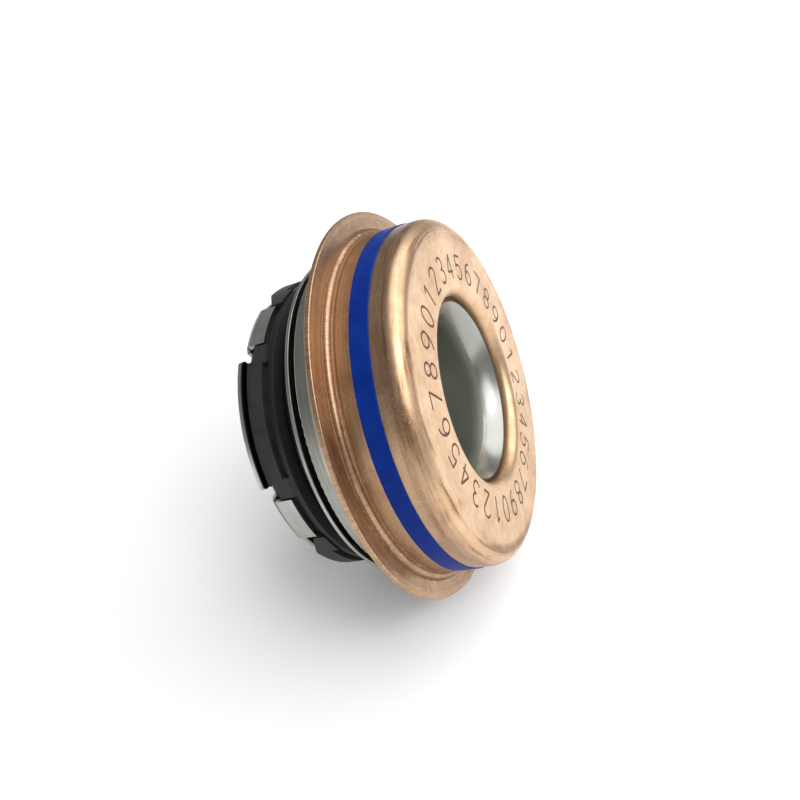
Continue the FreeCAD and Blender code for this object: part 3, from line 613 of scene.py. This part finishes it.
def spun(name, section, material, steps=160):
    """A closed section turned round the axis."""
    work = bmesh.new()
    rings = [[work.verts.new(on_circle(r, 2 * math.pi * i / steps, z)) for r, z in section]
             for i in range(steps)]
    count = len(section)
    for i in range(steps):
        here, ahead = rings[i], rings[(i + 1) % steps]
        for k in range(count):
            after = (k + 1) % count
            work.faces.new((here[k], ahead[k], ahead[after], here[after]))
    mesh = bpy.data.meshes.new(name)
    work.to_mesh(mesh)
    work.free()
    mesh.materials.append(material)
    made = link(bpy.data.objects.new(name, mesh))
    point_outwards(made)
    shade_smooth(made, 35)
    return made


def ring_of_digits(settings):
    """Strokes of a plain scale of digits round the face, read from outside."""
    strokes = []
    middle = settings.mark_radius / MM
    unit = settings.mark_height / 2 / MM
    for i in range(settings.mark_count):
        bearing = -2 * math.pi * i / settings.mark_count
        for path in DIGIT_STROKES[i % 10]:
            strokes.append([
                on_circle(middle + (up - 1) * unit,
                          bearing - (across - 0.5) * unit * DIGIT_WIDENING / middle,
                          BRASS_FACE - STROKE_SINK)
                for across, up in path])
    return strokes


def make_floor():
    """A pale floor under the seal as it lies. It can only be seen from its upper side."""
    side = Vector((0, 0, 1)).cross(FLOOR_UP).normalized()
    ahead = FLOOR_UP.cross(side)
    middle = FLOOR_UP * -FLOOR_DROP * MM
    corners = [middle + (side * i + ahead * j) * FLOOR_HALF
               for i, j in ((-1, -1), (1, -1), (1, 1), (-1, 1))]
    mesh = bpy.data.meshes.new("floor")
    mesh.from_pydata(corners, [], [(0, 1, 2, 3)])
    material, tree = new_material("pale_floor")
    underneath = add_node(tree, "ShaderNodeNewGeometry").outputs["Backfacing"]
    path = add_node(tree, "ShaderNodeLightPath")
    seen = calculate(tree, "ADD", path.outputs["Is Camera Ray"], path.outputs["Is Glossy Ray"])
    # Away from the seal the floor is seen nearly white. Its glow is weaker near the seal, a
    # painted shade round it; glossy rays see the glow too, so the seal's metal shows it as a
    # painted reflection.
    reach = add_node(tree, "ShaderNodeVectorMath", {"operation": "LENGTH"}, {0: millimetres(tree)})
    lift = product(tree, seen, ramp(tree, reach.outputs["Value"], 30.0, 200.0, 0.17, 0.9))
    matt = add_node(tree, "ShaderNodeBsdfDiffuse", inputs={"Color": (*[FLOOR_WHITE] * 3, 1)})
    glow = add_node(tree, "ShaderNodeEmission", inputs={"Color": (1, 1, 1, 1), "Strength": lift})
    lit = add_node(tree, "ShaderNodeAddShader", inputs={0: matt.outputs[0], 1: glow.outputs[0]})
    clear = add_node(tree, "ShaderNodeBsdfTransparent")
    mixed = add_node(tree, "ShaderNodeMixShader",
                     inputs={0: underneath, 1: lit.outputs[0], 2: clear.outputs[0]})
    add_node(tree, "ShaderNodeOutputMaterial", inputs={"Surface": mixed.outputs[0]})
    mesh.materials.append(material)
    floor = link(bpy.data.objects.new("floor", mesh))


def make_world(scene):
    """A surround that the camera sees as white, and that lights the seal softly."""
    world = bpy.data.worlds.new("soft_room")
    scene.world = world
    world.use_nodes = True
    tree = world.node_tree
    tree.nodes.clear()
    seen = add_node(tree, "ShaderNodeLightPath").outputs["Is Camera Ray"]
    strength = add_share(tree, seen, 1.0 - ROOM_LIGHT, ROOM_LIGHT)
    ground = add_node(tree, "ShaderNodeBackground",
                      inputs={"Color": (1, 1, 1, 1), "Strength": strength})
    add_node(tree, "ShaderNodeOutputWorld", inputs={"Surface": ground.outputs[0]})


def make_lights():
    """A large soft lamp overhead and a smaller one from the front."""
    for name, place, size, power in LAMPS:
        lamp = bpy.data.lights.new(name, "AREA")
        lamp.shape = "DISK"
        lamp.size = size
        lamp.energy = power
        obj = link(bpy.data.objects.new(name, lamp))
        obj.location = place
        obj.rotation_mode = "QUATERNION"
        obj.rotation_quaternion = (LAMP_AIM - place).to_track_quat("-Z", "Y")


def make_camera(scene):
    """The camera at the photograph's viewing angle."""
    lens = bpy.data.cameras.new("camera")
    lens.sensor_width = SENSOR_WIDTH
    lens.lens = SENSOR_WIDTH * FOCAL_PIXELS / IMAGE_PIXELS
    lens.clip_start = 0.005
    lens.clip_end = 10
    camera = link(bpy.data.objects.new("camera", lens))
    camera.location = Vector(CAMERA_PLACE) * MM
    camera.rotation_euler = [math.radians(a) for a in CAMERA_TURN]
    scene.camera = camera
    scene.view_settings.view_transform = "Standard"


class SealMetals(bpy.types.PropertyGroup):
    """Colours and finish of the brass and the steels."""

    bright: hex_colour("Bright brass", "Brass where it is clean", "#E0BF9C")
    tarnished: hex_colour("Tarnished brass", "Brass under its cloudy tarnish", "#C79F7A")
    side: hex_colour("Brass sides", "Brass on the body and flange", "#B89A7D")
    # Also the colour of the painted shade in the shoulder's hollows and of the painted dark
    # reflection in the bend.
    stain_and_painted_shade: hex_colour("Stained brass", "Brown stains and the troughs of fine lines", "#8A6244")
    worn: hex_colour("Worn brass", "Fresh metal in a scratch", "#F2DCC0")
    roughness: FloatProperty(name="Brass roughness", description="Satin of the brass",
                             default=0.36, min=0.05, max=1)
    steel: hex_colour("Bright steel", "Flare and retainer", "#B2B3AD")
    steel_dull: hex_colour("Dull steel", "Steel in its duller patches", "#868781")
    # Lighter steel for the tabs, and for the painted highlight on the shell's ridge and open edge.
    lighter_steel_and_highlight: hex_colour("Worn steel", "Tabs and rubbed edges", "#D9DAD4")
    bore: hex_colour("Bore", "Dull steel inside the sleeve", "#92958C")
    # Painted shade on the plate's upper face, in the gap under the rubber.
    painted_plate_shade: hex_colour("Grime", "Dark film in the gap over the end plate", "#1A1A19")
    shell: hex_colour("Shell steel", "Grey shell behind the flange", "#A8A9A1")
    shell_dull: hex_colour("Dull shell steel", "Shell in its duller patches", "#83857D")


class SealSoftParts(bpy.types.PropertyGroup):
    """Colours of the rubber, the lacquer and the hard rings."""

    rubber: hex_colour("Rubber", "Moulded rubber", "#161718")
    # Painted light: a lighter charcoal for the rubber below the boot's rim, as if lit.
    painted_light: hex_colour("Rubber bloom", "Rubber where it is handled", "#383939")
    lacquer: hex_colour("Lacquer", "Sealing lacquer", "#062E88")
    lacquer_thin: hex_colour("Thin lacquer", "Lacquer where it is thin", "#0A3593")
    ceramic: hex_colour("Hard ring", "Silicon carbide", "#10121A")
    ceramic_grain: hex_colour("Hard ring grain", "Grain of the silicon carbide", "#1D2029")


class SealMarks(bpy.types.PropertyGroup):
    """Size and colours of the etched scale."""

    mark_count: IntProperty(name="Digits", description="Digits round the face", default=30,
                            min=1, max=60)
    mark_height: distance("Digit height", "Height of a digit", 2.6, 0.5, 4)
    mark_radius: distance("Digit radius", "Axis to the middle of a digit", 12.9, 10, 17)
    stroke: distance("Stroke", "Half the width of a stroke", 0.15, 0.01, 0.5)
    mark: hex_colour("Mark", "Etched strokes", "#4E3220")
    mark_light: hex_colour("Light mark", "Etched strokes where they are thin", "#6E4B33")


class SEAL_OT_brass(bpy.types.Operator):
    """Finish the brass housing"""

    bl_idname = "seal.brass"
    bl_label = "Brass housing"

    def execute(self, context):
        dress(["housing"], drawn_brass(context.scene.seal_metals))
        return {"FINISHED"}


class SEAL_OT_steels(bpy.types.Operator):
    """Finish the sleeve, the retainer, the shell and the clamp"""

    bl_idname = "seal.steels"
    bl_label = "Steel parts"

    def execute(self, context):
        s = context.scene.seal_metals
        dress(["sleeve"], sleeve_steel(s))
        dress(["face_retainer", "bellows_clamp"],
              drawn_steel("lip_stainless", s.steel, s.steel_dull, 0.30, 0.12))
        dress(["spring_shell"], shell_steel(s))
        return {"FINISHED"}


class SEAL_OT_hard_rings(bpy.types.Operator):
    """Finish the two hard rings"""

    bl_idname = "seal.hard_rings"
    bl_label = "Hard rings"

    def execute(self, context):
        dress(["seal_face", "mating_ring"], silicon_carbide(context.scene.seal_soft))
        return {"FINISHED"}


class SEAL_OT_rubber(bpy.types.Operator):
    """Finish the boot, and mould the bellows"""

    bl_idname = "seal.rubber"
    bl_label = "Rubber parts"

    def execute(self, context):
        rubber = moulded_rubber(context.scene.seal_soft)
        dress(["boot"], rubber)
        bellows = spun("bellows_moulding", BELLOWS_SECTION, rubber)
        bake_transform(bellows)
        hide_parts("bellows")
        return {"FINISHED"}


class SEAL_OT_spring(bpy.types.Operator):
    """Wind the coil spring and grind its ends"""

    bl_idname = "seal.spring"
    bl_label = "Coil spring"

    def execute(self, context):
        s = context.scene.seal_metals
        wire = drawn_steel("spring_wire", s.steel, s.steel_dull, 0.3, 0.2)
        coil = swept("coil_spring", [coil_points()], wire, WIRE_RADIUS * MM, 1.0, 24)
        for vertex in coil.data.vertices:
            vertex.co.z = min(max(vertex.co.z, SHELL_TOP * MM), SPRING_TOP * MM)
        point_outwards(coil)
        shade_smooth(coil, 40)
        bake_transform(coil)
        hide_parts("spring")
        return {"FINISHED"}


class SEAL_OT_lacquer(bpy.types.Operator):
    """Finish the band of sealing lacquer"""

    bl_idname = "seal.lacquer"
    bl_label = "Sealing lacquer"

    def execute(self, context):
        dress(["sealant_band"], sealing_lacquer(context.scene.seal_soft))
        return {"FINISHED"}


class SEAL_OT_marks(bpy.types.Operator):
    """Etch a plain scale of digits round the brass face"""

    bl_idname = "seal.marks"
    bl_label = "Etched scale"

    def execute(self, context):
        s = context.scene.seal_marks
        marks = swept("etched_scale", ring_of_digits(s), etched_mark(s), s.stroke,
                      STROKE_FLATNESS, STROKE_SIDES)
        point_outwards(marks)
        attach(marks, "housing")
        return {"FINISHED"}


class SEAL_OT_stage(bpy.types.Operator):
    """Set the pale floor, the soft lights and the camera"""

    bl_idname = "seal.stage"
    bl_label = "Stage"

    def execute(self, context):
        make_floor()
        make_world(context.scene)
        make_lights()
        make_camera(context.scene)
        return {"FINISHED"}


OPERATORS = (
    SEAL_OT_brass, SEAL_OT_steels, SEAL_OT_hard_rings, SEAL_OT_rubber, SEAL_OT_spring,
    SEAL_OT_lacquer, SEAL_OT_marks, SEAL_OT_stage,
)
GROUPS = {"seal_metals": SealMetals, "seal_soft": SealSoftParts, "seal_marks": SealMarks}


class SEAL_PT_panel(bpy.types.Panel):
    """Sizes, colours and steps of the seal"""

    bl_idname = "SEAL_PT_panel"
    bl_label = "Shaft seal"
    bl_space_type = "VIEW_3D"
    bl_region_type = "UI"
    bl_category = "Shaft seal"

    def draw(self, context):
        for name, group in GROUPS.items():
            box = self.layout.box()
            for key in group.__annotations__:
                box.prop(getattr(context.scene, name), key)
        for operator in OPERATORS:
            self.layout.operator(operator.bl_idname)


def register():
    for group in GROUPS.values():
        bpy.utils.register_class(group)
    for name, group in GROUPS.items():
        setattr(bpy.types.Scene, name, PointerProperty(type=group))
    for each in (*OPERATORS, SEAL_PT_panel):
        bpy.utils.register_class(each)


def unregister():
    for each in (SEAL_PT_panel, *reversed(OPERATORS)):
        bpy.utils.unregister_class(each)
    for name in GROUPS:
        delattr(bpy.types.Scene, name)
    for group in GROUPS.values():
        bpy.utils.unregister_class(group)


def main():
    """Registers the add-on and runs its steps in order."""
    register()
    for step in ("brass", "steels", "hard_rings", "rubber", "spring", "lacquer", "marks", "stage"):
        getattr(bpy.ops.seal, step)()


if __name__ == "__main__":
    main()
